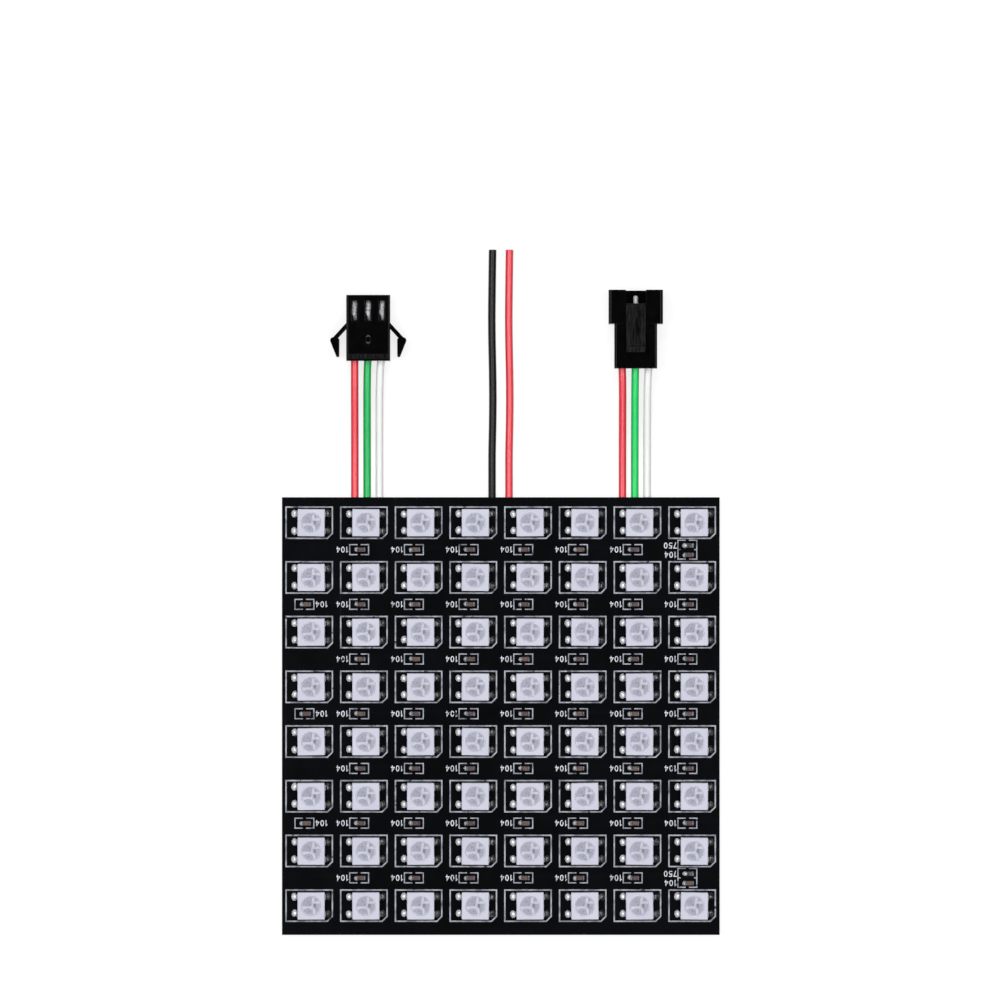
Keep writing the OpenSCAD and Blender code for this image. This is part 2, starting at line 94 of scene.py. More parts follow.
def led_y(row):
    return GRID_CENTRE.y + ((ROWS + 1) / 2 - row) * PITCH


def is_pair(column, gap):
    return column == COLUMNS and gap in (1, ROWS - 1)


INPUT_X, OUTPUT_X = (plug_low.x + plug_high.x) / 2, (header_low.x + header_high.x) / 2
INPUT_Z, OUTPUT_Z = (plug_low.z + plug_high.z) / 2, 3.35 * MM
TERMINAL_PITCH = 2.5 * MM
# The oval dimple where the input connector's mould was filled
GATE = (INPUT_X, plug_low.y + 3.9 * MM, 0)

LED_SPOTS = [(led_x(column), led_y(row)) for row in range(1, ROWS + 1) for column in range(1, COLUMNS + 1)]
CHIP_CELLS = [
    (column, gap)
    for gap in range(1, ROWS)
    for column in range(1, COLUMNS + 1)
    if column > 1 or gap % 2 == 0
]
CELL_SPOTS = {cell: (led_x(cell[0]) + CHIP_SHIFT, led_y(cell[1]) - CHIP_DROP) for cell in CHIP_CELLS}
CAPACITOR_SPOTS = [
    (x, y + (PAIR_CAPACITOR_SHIFT if is_pair(*cell) else 0)) for cell, (x, y) in CELL_SPOTS.items()
]
RESISTOR_SPOTS = [(x, y + PAIR_RESISTOR_SHIFT) for cell, (x, y) in CELL_SPOTS.items() if is_pair(*cell)]

# ---------------------------------------------------------------- materials

MATH, VECTOR_MATH = "ShaderNodeMath", "ShaderNodeVectorMath"
NOISE, RAMP, RANGE = "ShaderNodeTexNoise", "ShaderNodeValToRGB", "ShaderNodeMapRange"
SPLIT, BUMP, MAPPING = "ShaderNodeSeparateXYZ", "ShaderNodeBump", "ShaderNodeMapping"
ATTRIBUTE, MIX = "ShaderNodeAttribute", "ShaderNodeMix"
# Where a Mix node keeps its two colours and their mixture
FIRST, SECOND, MIXED = 6, 7, 2
SOFT_EDGE = 0.08 * MM


def linear(hex_colour):
    """An sRGB colour written as six hex digits, as linear red, green, blue and alpha."""
    channels = [int(hex_colour[i:i + 2], 16) / 255 for i in (0, 2, 4)]
    return [c / 12.92 if c <= 0.04045 else ((c + 0.055) / 1.055) ** 2.4 for c in channels] + [1]


def feed(tree, node, inputs):
    """Gives each named input of a node a socket, a hex colour or a plain value."""
    for key, value in inputs.items():
        if isinstance(value, bpy.types.NodeSocket):
            tree.links.new(value, node.inputs[key])
        else:
            node.inputs[key].default_value = linear(value) if isinstance(value, str) else value


def add(tree, kind, inputs=None, out=0, stops=(), **settings):
    """Adds a node and returns its output out, or all its outputs if out is None.

    A colour ramp's stops are pairs of a position and a hex colour.
    """
    node = tree.nodes.new(kind)
    for key, value in settings.items():
        setattr(node, key, value)
    feed(tree, node, inputs or {})
    if stops:
        elements = node.color_ramp.elements
        while len(elements) < len(stops):
            elements.new(0.5)
        for element, (position, colour) in zip(elements, stops):
            element.position = position
            element.color = linear(colour)
    return node.outputs if out is None else node.outputs[out]


def blotches(size_mm):
    """The scale of a noise whose blotches are about size_mm across."""
    return 1 / (size_mm * MM)


def new_finish(name):
    """An empty material with its tree, its shader and its object coordinates."""
    finish = bpy.data.materials.new(name)
    finish.use_nodes = True
    tree = finish.node_tree
    return finish, tree, tree.nodes["Principled BSDF"], add(tree, "ShaderNodeTexCoord", out="Object")


def beyond(tree, coordinate, start, soft):
    """A mask that is 0 up to start and 1 past start + soft."""
    return add(tree, RANGE, {"Value": coordinate, "From Min": start, "From Max": start + soft})


def within(tree, coordinate, middle, half_width):
    """A mask that is 1 within half_width of the middle and 0 past it."""
    offset = add(tree, MATH, {0: coordinate, 1: middle}, operation="SUBTRACT")
    away = add(tree, MATH, {0: offset}, operation="ABSOLUTE")
    return beyond(tree, away, half_width + SOFT_EDGE, -SOFT_EDGE)


def stripes(tree, coordinate, middle, spacing, half_width):
    """A mask that is 1 along lines that repeat every spacing and 0 between them."""
    ends = {1: middle + spacing / 2, 2: middle - spacing / 2}
    return within(tree, add(tree, MATH, {0: coordinate, **ends}, operation="WRAP"), middle, half_width)


def oval_ring(tree, place, centre, radius, half_width):
    """A mask that is 1 on an upright oval ring round the centre and 0 elsewhere."""
    from_centre = add(tree, VECTOR_MATH, {0: place, 1: centre}, operation="SUBTRACT")
    rounder = add(tree, VECTOR_MATH, {0: from_centre, 1: (1, 0.6, 0)}, operation="MULTIPLY")
    away = add(tree, VECTOR_MATH, {0: rounder}, "Value", operation="LENGTH")
    return within(tree, away, radius, half_width)


def mottled(name, drift, stops, inputs, grain=None):
    """A finish whose colour drifts in blotches over a relief of fine grain.

    drift is the blotches' size in millimetres and their detail. grain is its size and depth in millimetres.
    """
    finish, tree, shader, place = new_finish(name)
    size, detail = drift
    cloud = add(tree, NOISE, {"Vector": place, "Scale": blotches(size), "Detail": detail})
    feed(tree, shader, {"Base Color": add(tree, RAMP, {"Fac": cloud}, stops=stops), **inputs})
    if grain:
        size, depth = grain
        height = add(tree, NOISE, {"Vector": place, "Scale": blotches(size)})
        feed(tree, shader, {"Normal": add(tree, BUMP, {"Height": height, "Distance": depth * MM})})
    return finish


def coverlay_film():
    """Black coverlay over copper: nearly black, satin, and the tracks under it raised a little."""
    finish, tree, shader, place = new_finish("black_coverlay_film")
    cloud = add(tree, NOISE, {"Vector": place, "Scale": blotches(14), "Detail": 3})
    film = add(tree, RAMP, {"Fac": cloud}, stops=[(0.35, "030406"), (0.65, "05070b")])
    parts = add(tree, SPLIT, {"Vector": place}, None)
    across = stripes(tree, parts["Y"], GRID_CENTRE.y + 0.5 * MM, PITCH, 0.35 * MM)
    along = stripes(tree, parts["X"], GRID_CENTRE.x + 0.55 * MM, PITCH, 0.2 * MM)
    copper = add(tree, MATH, {0: across, 1: along}, operation="MAXIMUM")
    patches = add(tree, NOISE, {"Vector": place, "Scale": blotches(11), "Detail": 1})
    patchy = add(tree, RANGE, {"Value": patches, "To Min": -1.5, "To Max": 2})
    tracks = add(tree, MATH, {0: copper, 1: patchy}, operation="MULTIPLY")
    faint = add(tree, MATH, {0: tracks, 1: 0.2}, operation="MULTIPLY")
    weave = add(tree, NOISE, {"Vector": place, "Scale": blotches(0.6)})
    relief = add(tree, MATH, {0: weave, 1: 0.3, 2: tracks}, operation="MULTIPLY_ADD")
    wear = add(tree, NOISE, {"Vector": place, "Scale": blotches(3)})
    feed(tree, shader, {
        "Base Color": add(tree, MIX, {0: faint, FIRST: film, SECOND: "101217"}, MIXED, data_type="RGBA"),
        "Roughness": add(tree, RANGE, {"Value": wear, "To Min": 0.18, "To Max": 0.24}),
        "Specular IOR Level": 0.1,
        "Normal": add(tree, BUMP, {"Height": relief, "Distance": 0.006 * MM}),
    })
    return finish


def legend_ink(name, pale, dark):
    """Screen-printed epoxy ink: matte grey, paler where thick, and the film shows in a few thin spots."""
    finish, tree, shader, place = new_finish(name)
    thickness = add(tree, NOISE, {"Vector": place, "Scale": blotches(1.6)})
    body = add(tree, RAMP, {"Fac": thickness}, stops=[(0.35, dark), (0.6, pale)])
    voids = add(tree, NOISE, {"Vector": place, "Scale": blotches(1.1), "Detail": 1})
    thin = add(tree, RAMP, {"Fac": voids}, stops=[(0.69, "000000"), (0.73, "ffffff")])
    grain = add(tree, NOISE, {"Vector": place, "Scale": blotches(0.12)})
    feed(tree, shader, {
        "Base Color": add(tree, MIX, {0: thin, FIRST: body, SECOND: "44464f"}, MIXED, data_type="RGBA"),
        "Roughness": 0.7,
        "Specular IOR Level": 0.3,
        "Normal": add(tree, BUMP, {"Height": grain, "Distance": 0.004 * MM}),
    })
    return finish


def led_plastic():
    """PPA, the white nylon of LED housings: moulded, faintly violet, matte, with painted light making the
    cup's wall brightest against its shade.
    """
    finish, tree, shader, place = new_finish("moulded_white_ppa")
    cloud = add(tree, NOISE, {"Vector": place, "Scale": blotches(6)})
    tone = add(tree, RAMP, {"Fac": cloud}, stops=[(0.3, "cbccdd"), (0.7, "d6d7e5")])
    fine = add(tree, NOISE, {"Vector": place, "Scale": blotches(0.12), "Detail": 3})
    faint = add(tree, MATH, {0: fine, 1: 0.12}, operation="MULTIPLY")
    outside = add(tree, MIX, {0: faint, FIRST: tone, SECOND: "c2c3d6"}, MIXED, data_type="RGBA")
    # Painted light: the faces marked as the cup's wall take a near-white colour that lifts the shade inside
    # the cup
    cup = add(tree, ATTRIBUTE, out="Fac", attribute_name="cup")
    feed(tree, shader, {
        "Base Color": add(tree, MIX, {0: cup, FIRST: outside, SECOND: "f6f7ff"}, MIXED, data_type="RGBA"),
        "Roughness": 0.48,
        "IOR": 1.53,
        "Normal": add(tree, BUMP, {"Height": fine, "Distance": 0.004 * MM}),
    })
    return finish


def silver_plating():
    """Silver-plated leadframe under resin: soft violet grey that scatters, no mirror."""
    return mottled("satin_silver_plating", (1.6, 1), [(0.3, "8b8da1"), (0.7, "9799ac")],
                   {"Metallic": 0.2, "Roughness": 0.5}, (0.08, 0.002))


def driver_silicon():
    """Polished silicon: dark grey with the blocks of its circuit just showing."""
    return mottled("polished_silicon", (0.12, 2), [(0.4, "18171f"), (0.6, "34333e")], {"Roughness": 0.25})


def emitter_crystal():
    """Sapphire with its thin emitting layers: a pale grey-blue block, faintly cloudy."""
    return mottled("emitter_sapphire", (0.2, 1), [(0.4, "646779"), (0.6, "7c7f91")], {"Roughness": 0.2})


def bond_gold():
    """Drawn gold wire, bright along its crown."""
    return mottled("drawn_gold", (0.1, 1), [(0.4, "c79b4e"), (0.6, "dcb365")],
                   {"Metallic": 1.0, "Roughness": 0.3})


def clear_resin():
    """Clear silicone in the light cup: a faint milky veil with a gloss, on its upper skin alone."""
    finish, tree, shader, place = new_finish("clear_silicone")
    skin = add(tree, ATTRIBUTE, out="Fac", attribute_name="skin")
    milk = add(tree, NOISE, {"Vector": place, "Scale": blotches(2.5), "Detail": 1})
    veil = add(tree, RANGE, {"Value": milk, "To Min": 0.24, "To Max": 0.32})
    ripple = add(tree, NOISE, {"Vector": place, "Scale": blotches(0.8)})
    feed(tree, shader, {
        "Base Color": "e4e6f4",
        "Alpha": add(tree, MATH, {0: veil, 1: skin}, operation="MULTIPLY"),
        "Roughness": 0.22,
        "IOR": 1.41,
        "Normal": add(tree, BUMP, {"Height": ripple, "Distance": 0.01 * MM}),
    })
    return finish


def reflowed_solder(name, pale, dark, metallic, grain_mm):
    """Reflowed tin solder: bright where it ran smooth, darker and rougher where it froze in grains."""
    return mottled(name, (0.45, 2), [(0.35, dark), (0.6, pale)],
                   {"Metallic": metallic, "Roughness": 0.3}, (0.3, grain_mm))


def capacitor_ceramic():
    """Barium titanate ceramic, fired and tumbled: red-brown, some batches more tan."""
    finish, tree, shader, place = new_finish("fired_brown_ceramic")
    batch = add(tree, NOISE, {"Vector": place, "Scale": blotches(9), "Detail": 0})
    tone = add(tree, RAMP, {"Fac": batch}, stops=[(0.42, "442325"), (0.5, "4e2e29"), (0.58, "5f4233")])
    grain = add(tree, NOISE, {"Vector": place, "Scale": blotches(0.1)})
    faint = add(tree, MATH, {0: grain, 1: 0.25}, operation="MULTIPLY")
    feed(tree, shader, {
        "Base Color": add(tree, MIX, {0: faint, FIRST: tone, SECOND: "3a1f1c"}, MIXED, data_type="RGBA"),
        "Roughness": 0.4,
    })
    return finish


def resistor_glaze():
    """Black glass glaze over a thick-film resistor: glossy, with a faint cloud."""
    return mottled("black_glass_glaze", (0.3, 2), [(0.4, "0f0f12"), (0.6, "1b1b20")], {"Roughness": 0.3})


def tin_plating(name, pale, dark, roughness, metallic=0.8, dent_mm=0.01):
    """Electroplated tin: pale grey metal, slightly cloudy, dented by handling."""
    return mottled(name, (0.4, 3), [(0.3, dark), (0.7, pale)],
                   {"Metallic": metallic, "Roughness": roughness}, (0.35, dent_mm))


def tin_with_painted_shade():
    """The socket boxes: tin, with painted shade: black on their tops under the housing's windows, as the
    shadow in those deep windows.
    """
    finish, tree, shader, place = new_finish("contact_tin_with_painted_shade")
    cloud = add(tree, NOISE, {"Vector": place, "Scale": blotches(0.4), "Detail": 3})
    tin = add(tree, RAMP, {"Fac": cloud}, stops=[(0.3, "8f9096"), (0.7, "bcbdc2")])
    parts = add(tree, SPLIT, {"Vector": place}, None)
    # Painted shade: a black stripe over each box's top, where the window above it lies in shadow
    slot = stripes(tree, parts["X"], INPUT_X, TERMINAL_PITCH, 0.6 * MM)
    top = beyond(tree, parts["Z"], INPUT_Z + 0.9 * MM, 0.05 * MM)
    dark = add(tree, MATH, {0: slot, 1: top}, operation="MULTIPLY")
    feed(tree, shader, {
        "Base Color": add(tree, MIX, {0: dark, FIRST: tin, SECOND: "040404"}, MIXED, data_type="RGBA"),
        "Metallic": add(tree, MATH, {0: dark, 1: -0.5, 2: 0.5}, operation="MULTIPLY_ADD"),
        "Roughness": add(tree, MATH, {0: dark, 1: 0.5, 2: 0.4}, operation="MULTIPLY_ADD"),
    })
    return finish


def sheath(name, pale, deep, side, gloss):
    """Extruded PVC insulation with die lines, deeper at its sides as painted shade and paler on top as a
    painted highlight.
    """
    finish, tree, shader, place = new_finish(name)
    drawn = add(tree, MAPPING, {"Vector": place, "Scale": (1, 0.12, 1)})
    streak = add(tree, NOISE, {"Vector": drawn, "Scale": blotches(0.5)})
    crown = add(tree, RAMP, {"Fac": streak}, stops=[(0.3, deep), (0.7, pale)])
    normal = add(tree, "ShaderNodeNewGeometry", out="Normal")
    # Painted shade and highlight: upward faces take the paler crown colour, sideways faces the darker side
    # colour
    painted_top_light_mask = beyond(tree, add(tree, SPLIT, {"Vector": normal}, "Z"), 0.5, 0.4)
    feed(tree, shader, {
        "Base Color": add(tree, MIX, {0: painted_top_light_mask, FIRST: side, SECOND: crown}, MIXED, data_type="RGBA"),
        "Roughness": 0.36,
        "Specular IOR Level": gloss,
        "Normal": add(tree, BUMP, {"Height": streak, "Distance": 0.004 * MM}),
    })
    return finish


def painted_dimple_highlight_mask(tree, place, parts):
    """A mask for painted highlights on the input connector's dimple: two crescents of its rim, on the upper
    face alone.
    """
    ring = oval_ring(tree, place, GATE, 0.4 * MM, 0.04 * MM)
    sides = within(tree, parts["Y"], GATE[1], 0.4 * MM)
    crescents = add(tree, MATH, {0: ring, 1: sides}, operation="SUBTRACT")
    on_top = beyond(tree, parts["Z"], plug_high.z - 1 * MM, 0.1 * MM)
    return add(tree, MATH, {0: crescents, 1: on_top}, operation="MULTIPLY")


def pale_streak_places(tree, parts):
    """A mask for the output connector's latch and for the band round the input connector's wire end."""
    latch = beyond(tree, parts["Z"], header_high.z - 0.7 * MM, 0.3 * MM)
    band = within(tree, parts["Y"], plug_low.y + 0.8 * MM, 0.38 * MM)
    on_plug = beyond(tree, parts["X"], 0, -1 * MM)
    plug_band = add(tree, MATH, {0: band, 1: on_plug}, operation="MULTIPLY")
    return add(tree, MATH, {0: latch, 1: plug_band}, operation="MAXIMUM")


def black_nylon():
    """Moulded black nylon 66: deep black with softened edges, paler in streaks on the latch and band, with
    painted highlights on the dimple.
    """
    finish, tree, shader, place = new_finish("moulded_black_nylon")
    parts = add(tree, SPLIT, {"Vector": place}, None)
    cloud = add(tree, NOISE, {"Vector": place, "Scale": blotches(2.5), "Detail": 3})
    body = add(tree, RAMP, {"Fac": cloud}, stops=[(0.3, "020203"), (0.7, "070708")])
    drawn = add(tree, MAPPING, {"Vector": place, "Scale": (1, 0.15, 1)})
    streak = add(tree, NOISE, {"Vector": drawn, "Scale": blotches(0.3)})
    pale_streaks = add(tree, RAMP, {"Fac": streak}, stops=[(0.38, "0c0c0c"), (0.62, "262626")])
    # Paler streaks on the latch's highest part and on a band round the plug's wire end
    places = pale_streak_places(tree, parts)
    streaked_body = add(tree, MIX, {0: places, FIRST: body, SECOND: pale_streaks}, MIXED, data_type="RGBA")
    # Painted highlight: two grey crescents at the ends of the dimple's rim
    dimple_highlights = painted_dimple_highlight_mask(tree, place, parts)
    polish = add(tree, NOISE, {"Vector": place, "Scale": blotches(1.2)})
    grain = add(tree, NOISE, {"Vector": place, "Scale": blotches(0.09)})
    rounded = add(tree, "ShaderNodeBevel", {"Radius": 0.12 * MM}, samples=6)
    feed(tree, shader, {
        "Base Color": add(tree, MIX, {0: dimple_highlights, FIRST: streaked_body, SECOND: "545454"}, MIXED, data_type="RGBA"),
        "Roughness": add(tree, RANGE, {"Value": polish, "To Min": 0.13, "To Max": 0.2}),
        "Specular IOR Level": 0.09,
        "Normal": add(tree, BUMP, {"Height": grain, "Distance": 0.002 * MM, "Normal": rounded}),
    })
    return finish


# How much white the floor shows by itself, on top of the light that it scatters
FLOOR_LIFT = 0.78


def seamless_paper():
    """Pale matte paper under the panel. It looks white but lights the panel no more than grey does."""
    finish, tree, shader, place = new_finish("pale_seamless_paper")
    cloud = add(tree, NOISE, {"Vector": place, "Scale": blotches(40)})
    rays = add(tree, "ShaderNodeLightPath", out=None)
    indirect = {0: rays["Is Glossy Ray"], 1: rays["Is Transmission Ray"]}
    mirrored = add(tree, MATH, indirect, operation="MAXIMUM")
    seen = add(tree, MATH, {0: rays["Is Camera Ray"], 1: mirrored}, operation="MAXIMUM")
    feed(tree, shader, {
        "Base Color": add(tree, RAMP, {"Fac": cloud}, stops=[(0.3, "939393"), (0.7, "969696")]),
        "Roughness": 0.95,
        "Specular IOR Level": 0.0,
        "Emission Color": "ffffff",
        "Emission Strength": add(tree, MATH, {0: seen, 1: FLOOR_LIFT}, operation="MULTIPLY"),
    })
    return finish


FINISHES = {
    "film": coverlay_film(),
    "frame_ink": legend_ink("printed_frame_ink", "b6b8c3", "777985"),
    "mark_ink": legend_ink("printed_mark_ink", "e8eaf2", "c3c5cf"),
    "ppa": led_plastic(),
    "plating": silver_plating(),
    "driver": driver_silicon(),
    "emitter": emitter_crystal(),
    "gold": bond_gold(),
    "resin": clear_resin(),
    # Lit and shaded copies of one solder: the first painted light, the second painted shade
    "solder_painted_lit": reflowed_solder("solder_painted_lit", "feffff", "eceef4", 0.35, 0.04),
    "solder_painted_shaded": reflowed_solder("solder_painted_shaded", "70716d", "292a27", 0.75, 0.09),
    "ceramic": capacitor_ceramic(),
    "glaze": resistor_glaze(),
    "chip_tin": tin_plating("matte_chip_tin", "78787e", "424248", 0.4),
    "contact_tin": tin_plating("bright_contact_tin", "f0f0f3", "bfc1c8", 0.42, 0.35),
    "tin_with_painted_shade": tin_with_painted_shade(),
    "tongue_tin": tin_plating("scuffed_contact_tin", "d9d9dc", "66676c", 0.5, 0.4, 0.08),
    "conductor_tin": tin_plating("tinned_copper", "cfccc6", "9b958c", 0.4),
    # Each sheath's fourth colour is painted shade for its sides; the two before it, paler, are a painted
    # highlight on top
    "red": sheath("red_pvc", "fd4355", "f43a4b", "de1824", 0.9),
    "left_green": sheath("green_pvc", "1dc869", "15ba5e", "0c9a3c", 0.5),
    "right_green": sheath("light_green_pvc", "25e878", "1bd86c", "12b54b", 0.5),
    "white": sheath("white_pvc", "fefefe", "fbfbfa", "f4f6f4", 0.5),
    "black": sheath("black_pvc", "0b0907", "060403", "030202", 0.33),
    "nylon": black_nylon(),
    "paper": seamless_paper(),
}

# ---------------------------------------------------------------- meshes


def new_object(name, mesh):
    thing = bpy.data.objects.new(name, mesh)
    bpy.context.collection.objects.link(thing)
    return thing


def mesh_piece(name, build, finish, smooth_angle=35):
    """A piece whose mesh is filled by build(bm), smooth but for edges sharper than smooth_angle."""
    shape = bmesh.new()
    build(shape)
    bmesh.ops.recalc_face_normals(shape, faces=shape.faces)
    mesh = bpy.data.meshes.new(name)
    shape.to_mesh(mesh)
    shape.free()
    for face in mesh.polygons:
        face.use_smooth = True
    mesh.set_sharp_from_angle(angle=math.radians(smooth_angle))
    mesh.materials.append(finish)
    return new_object(name, mesh)


def loft(shape, rings, closed=False):
    """A skin through rings of equally many points: capped at both ends, or joined end to start if closed."""
    made = [[shape.verts.new(point) for point in ring] for ring in rings]
    count = len(made[0])
    for lower, upper in zip(made, made[1:] + made[:1] if closed else made[1:]):
        for i in range(count):
            j = (i + 1) % count
            shape.faces.new((lower[i], lower[j], upper[j], upper[i]))
    if not closed:
        shape.faces.new(list(reversed(made[0])))
        shape.faces.new(made[-1])


def rounded_outline(width, length, corner, side_steps=1, corner_steps=3):
    """Points round a rectangle with round corners, anticlockwise from its right side."""
    half_w, half_l = width / 2 - corner, length / 2 - corner
    middles = [(half_w, half_l), (-half_w, half_l), (-half_w, -half_l), (half_w, -half_l)]

    def on_corner(middle, quarters):
        turn = math.pi / 2 * quarters
        return middle[0] + corner * math.cos(turn), middle[1] + corner * math.sin(turn)

    points = []
    for quarter, middle in enumerate(middles):
        points += [on_corner(middle, quarter + step / corner_steps) for step in range(corner_steps + 1)]
        start = Vector(points[-1])
        end = Vector(on_corner(middles[(quarter + 1) % 4], quarter + 1))
        points += [tuple(start.lerp(end, step / side_steps)) for step in range(1, side_steps)]
    return points


def at_height(points, z):
    return [(x, y, z) for x, y in points]


def on_circle(points, radius):
    """The points moved out or in to a circle about the middle."""
    return [(radius * x / math.hypot(x, y), radius * y / math.hypot(x, y)) for x, y in points]


def pillow(shape, centre, width, length, bottom, top, corner, edge):
    """A block with round corners and a rounded top edge."""
    def ring(inset, z):
        tightened = max(corner - inset, 0.2 * corner)
        outline = rounded_outline(width - 2 * inset, length - 2 * inset, tightened, 1, 2)
        return [(centre[0] + x, centre[1] + y, z) for x, y in outline]
    loft(shape, [ring(0, bottom), ring(0, top - edge), ring(0.3 * edge, top - 0.3 * edge), ring(edge, top)])


# A solder drop's outline: shares of its height, each with the share of its width there
DROP = ((0, 1.06), (0.07, 1), (0.35, 0.94), (0.65, 0.76), (0.87, 0.48), (0.97, 0.22), (1, 0.05))
DROP_SIDES = 18


def mound(shape, x, y, width, length, height, lean):
    """A drop of solder on its pad at height 0, leaning along X as it rises."""
    turns = [2 * math.pi * i / DROP_SIDES for i in range(DROP_SIDES)]
    loft(shape, [
        [
            (x + lean * share + swell * width / 2 * math.cos(turn),
             y + swell * length / 2 * math.sin(turn),
             share * height)
            for turn in turns
        ]
        for share, swell in DROP
    ])


def stroke(shape, points, width, bottom, top):
    """A flat line of ink through the points, mitred at its corners, and a ring if it ends where it starts."""
    points = [Vector(point) for point in points]
    ring = (points[0] - points[-1]).length < 1e-6
    if ring:
        points.pop()
    runs = [(b - a).normalized() for a, b in zip(points, points[1:] + points[:1])]
    if not ring:
        runs[-1] = runs[-2]
        points[0] -= runs[0] * width / 2
        points[-1] += runs[-1] * width / 2
    sections = []
    for i, point in enumerate(points):
        before = runs[i - 1] if ring or i > 0 else runs[0]
        corner = Vector((-before.y - runs[i].y, before.x + runs[i].x)).normalized()
        reach = width / 2 / max(corner.dot(Vector((-before.y, before.x))), 0.5)
        left, right = point + corner * reach, point - corner * reach
        sections.append([(*right, bottom), (*left, bottom), (*left, top), (*right, top)])
    loft(shape, sections, ring)


# ---------------------------------------------------------------- repeats by geometry nodes


REPEAT_INPUTS = (
    ("Geometry", "NodeSocketGeometry"), ("Piece", "NodeSocketObject"), ("Finish", "NodeSocketMaterial"),
    ("Columns", "NodeSocketInt"), ("Rows", "NodeSocketInt"), ("Pitch", "NodeSocketFloat"),
    ("Centre", "NodeSocketVector"), ("Turn", "NodeSocketFloat"), ("Size Change", "NodeSocketFloat"),
    ("Seed", "NodeSocketInt"),
)


def led_grid(tree, given):
    """Points on the LEDs' grid."""
    sizes = {}
    for axis, count in (("Size X", given["Columns"]), ("Size Y", given["Rows"])):
        gaps = add(tree, MATH, {0: count, 1: 1}, operation="SUBTRACT")
        sizes[axis] = add(tree, MATH, {0: gaps, 1: given["Pitch"]}, operation="MULTIPLY")
    counts = {"Vertices X": given["Columns"], "Vertices Y": given["Rows"]}
    grid = add(tree, "GeometryNodeMeshGrid", {**sizes, **counts})
    return add(tree, "GeometryNodeSetPosition", {"Geometry": grid, "Offset": given["Centre"]})


def repeat_tree(on_grid):
    """Copies of one piece on a grid or on the host's points, each turned and sized a little at random."""
    tree = bpy.data.node_groups.new("repeat_on_grid" if on_grid else "repeat_at_spots", "GeometryNodeTree")
    for name, kind in REPEAT_INPUTS:
        tree.interface.new_socket(name=name, in_out="INPUT", socket_type=kind)
    tree.interface.new_socket(name="Geometry", in_out="OUTPUT", socket_type="NodeSocketGeometry")
    given = tree.nodes.new("NodeGroupInput").outputs
    points = led_grid(tree, given) if on_grid else given["Geometry"]
    piece = add(tree, "GeometryNodeObjectInfo", {"Object": given["Piece"]}, "Geometry")
    # A random number's inputs 2 and 3 are its least and greatest, and its output 1 is the number
    least = add(tree, MATH, {0: given["Turn"], 1: -1}, operation="MULTIPLY")
    turn_range = {2: least, 3: given["Turn"], "Seed": given["Seed"]}
    turned = add(tree, "FunctionNodeRandomValue", turn_range, 1, data_type="FLOAT")
    least = add(tree, MATH, {0: 1, 1: given["Size Change"]}, operation="SUBTRACT")
    next_seed = add(tree, MATH, {0: given["Seed"], 1: 1}, operation="ADD")
    size_range = {2: least, 3: 1.0, "Seed": next_seed}
    sized = add(tree, "FunctionNodeRandomValue", size_range, 1, data_type="FLOAT")
    rotation = add(tree, "ShaderNodeCombineXYZ", {"Z": turned})
    placing = {"Points": points, "Instance": piece, "Rotation": rotation, "Scale": sized}
    copies = add(tree, "GeometryNodeInstanceOnPoints", placing)
    real = add(tree, "GeometryNodeRealizeInstances", {"Geometry": copies})
    painted = add(tree, "GeometryNodeSetMaterial", {"Geometry": real, "Material": given["Finish"]})
    tree.links.new(painted, tree.nodes.new("NodeGroupOutput").inputs[0])
    return tree


TREES = {True: repeat_tree(True), False: repeat_tree(False)}


def repeated(name, source, finish, spots=None, height=0.0, turn=0.0, size_change=0.0, seed=1):
    """One plain mesh of copies of source: on the LED grid, or at spots given as (x, y)."""
    host_mesh = bpy.data.meshes.new(name + "_host")
    host_mesh.from_pydata([(x, y, height) for x, y in spots] if spots else [(0, 0, 0)], [], [])
    host = new_object(name + "_host", host_mesh)
    tree = TREES[spots is None]
    modifier = host.modifiers.new("repeat", "NODES")
    modifier.node_group = tree
    given = {
        "Piece": source, "Finish": finish, "Columns": COLUMNS, "Rows": ROWS, "Pitch": PITCH,
        "Centre": (GRID_CENTRE.x, GRID_CENTRE.y, height),
        "Turn": math.radians(turn), "Size Change": size_change, "Seed": seed,
    }
    for socket in tree.interface.items_tree:
        if socket.in_out == "INPUT" and socket.name in given:
            modifier[socket.identifier] = given[socket.name]
    host.update_tag()
    graph = bpy.context.evaluated_depsgraph_get()
    mesh = bpy.data.meshes.new_from_object(host.evaluated_get(graph), depsgraph=graph)
    mesh.name = name
    piece = new_object(name, mesh)
    for spent in (host, source):
        bpy.data.objects.remove(spent)
    return piece


def fixed(piece, slot, *nodes):
    """The piece rides on the panel and stands for those CAD nodes; slot is not used."""
    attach(piece, BODY)
    if nodes:
        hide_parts(*nodes)
    return piece


def paint(node, finish):
    """Gives a carried-over CAD node its finish."""
    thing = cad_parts[node]
    thing.data.materials.clear()
    thing.data.materials.append(finish)


# ---------------------------------------------------------------- camera

VIEW_WIDTH = 0.1828
VIEW_CENTRE = Vector((-0.00015, 0.0395, PANEL_TOP))
CAMERA_HEIGHT = 1.4


def make_camera():
    lens = bpy.data.cameras.new("overhead")
    lens.sensor_width = 36
    lens.lens = lens.sensor_width * CAMERA_HEIGHT / VIEW_WIDTH
    lens.clip_end = 10
    camera = new_object("overhead", lens)
    camera.location = VIEW_CENTRE + Vector((0, 0, CAMERA_HEIGHT))
    bpy.context.scene.camera = camera


make_camera()

# ---------------------------------------------------------------- leads

LEAD_DIAMETER = 1.4 * MM
LEAD_AXIS = LEAD_DIAMETER / 2
SOLDER_PITCH = 2.25 * MM
POWER_PITCH = 3.1 * MM
CONDUCTOR_RADIUS = 0.35 * MM
